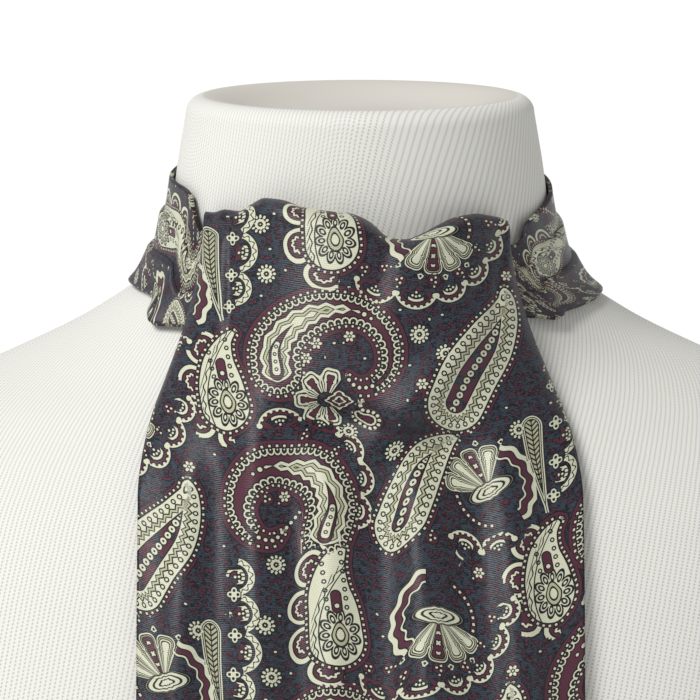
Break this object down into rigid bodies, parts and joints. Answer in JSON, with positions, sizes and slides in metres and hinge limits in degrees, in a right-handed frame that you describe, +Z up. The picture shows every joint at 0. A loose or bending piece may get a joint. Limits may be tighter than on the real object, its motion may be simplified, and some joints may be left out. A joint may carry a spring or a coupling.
{
  "type": "silk cravat on a limbless bust form",
  "caption": "Printed silk cravat worn round the neck of a limbless bust form: a pleated neckband, a wrapped knot and a wide blade that rolls over it and hangs in a point.",
  "frame": {"origin": "centre of the bust form's flat underside", "axes": "+Z up the neck, +X to the right as seen from the front, the front faces -Y"},
  "size_m": [0.41, 0.2363, 0.5],
  "materials": {
    "form_jersey": "matte rib-knit jersey cover",
    "printed_silk": "printed silk twill, soft satin sheen",
    "printed_silk_inside": "printed silk twill, wrapped inside the knot"
  },
  "bodies": {
    "root": {"bust_form": "form_jersey", "neck_band": "printed_silk", "knot_wrap": "printed_silk_inside", "under_blade": "printed_silk_inside", "front_blade": "printed_silk"}
  },
  "joints": []
}
